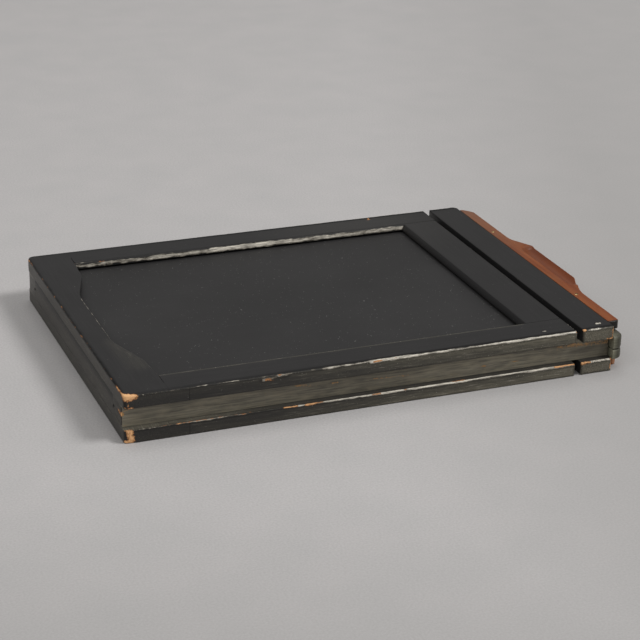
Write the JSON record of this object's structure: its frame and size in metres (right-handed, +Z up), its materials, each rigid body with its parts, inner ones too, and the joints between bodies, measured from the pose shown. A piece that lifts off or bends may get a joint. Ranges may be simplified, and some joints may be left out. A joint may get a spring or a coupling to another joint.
{
  "type": "plate holder",
  "caption": "Flat black wooden double holder for glass photographic plates, with a thin sheath slide on each face drawn by a brown wood pull at one end.",
  "frame": {"origin": "on the resting face, under the middle of the whole object's box", "axes": "+X along the holder, from its closed end to the slides' pulls; +Y across it; +Z up through its thickness"},
  "size_m": [0.1808, 0.127, 0.0164],
  "materials": {
    "black_wood": "black paint, semi-matt, worn to bare wood at the edges",
    "core_wood": "thin worn black stain over brown wood, rubbed by the camera's guides",
    "septum_steel": "matt black japanned sheet",
    "spring_brass": "rolled, tarnished",
    "black_velvet": "short black pile",
    "brass_pin": "filed flush, bright",
    "sheath_board": "smooth matt pressed fibre board, finely scratched",
    "grip_wood": "red-brown stained and oiled wood"
  },
  "bodies": {
    "frame": {"core_rail_near": "core_wood", "core_rail_far": "core_wood", "core_end_block": "core_wood", "core_head_block": "core_wood", "septum": "septum_steel", "upper_rail_near": "black_wood", "upper_rail_far": "black_wood", "upper_end_rail": "black_wood", "upper_cross_rail": "black_wood", "upper_head_strip": "black_wood", "upper_runner_near": "black_wood", "upper_runner_far": "black_wood", "upper_mouth_sill": "black_wood", "upper_trap_spring": "spring_brass", "upper_trap_velvet": "black_velvet", "upper_pressure_spring": "spring_brass", "upper_catch_pins": "brass_pin", "upper_catch_spring": "spring_brass", "lower_rail_near": "black_wood", "lower_rail_far": "black_wood", "lower_end_rail": "black_wood", "lower_cross_rail": "black_wood", "lower_head_strip": "black_wood", "lower_runner_near": "black_wood", "lower_runner_far": "black_wood", "lower_mouth_sill": "black_wood", "lower_trap_spring": "spring_brass", "lower_trap_velvet": "black_velvet", "lower_pressure_spring": "spring_brass", "lower_catch_pins": "brass_pin", "lower_catch_spring": "spring_brass"},
    "upper_slide": {"upper_slide_sheet": "sheath_board", "upper_pull_grip": "grip_wood", "upper_pull_backing": "black_wood", "upper_pull_pins": "brass_pin"},
    "lower_slide": {"lower_slide_sheet": "sheath_board", "lower_pull_grip": "grip_wood", "lower_pull_backing": "black_wood", "lower_pull_pins": "brass_pin"},
    "upper_catch": {"upper_plate_catch": "spring_brass"},
    "lower_catch": {"lower_plate_catch": "spring_brass"}
  },
  "joints": [
    {"name": "upper_slide_pull", "type": "slide", "parent": "frame", "child": "upper_slide", "axis": [1, 0, 0], "range_m": [0, 0.172]},
    {"name": "lower_slide_pull", "type": "slide", "parent": "frame", "child": "lower_slide", "axis": [1, 0, 0], "range_m": [0, 0.172]},
    {"name": "upper_catch_push", "type": "slide", "parent": "frame", "child": "upper_catch", "axis": [-1, 0, 0], "range_m": [0, 0.0028], "stiffness_N_per_m": 250, "springref_m": -0.002, "deforming": ["upper_catch_spring"]},
    {"name": "lower_catch_push", "type": "slide", "parent": "frame", "child": "lower_catch", "axis": [-1, 0, 0], "range_m": [0, 0.0028], "stiffness_N_per_m": 250, "springref_m": -0.002, "deforming": ["lower_catch_spring"]}
  ]
}
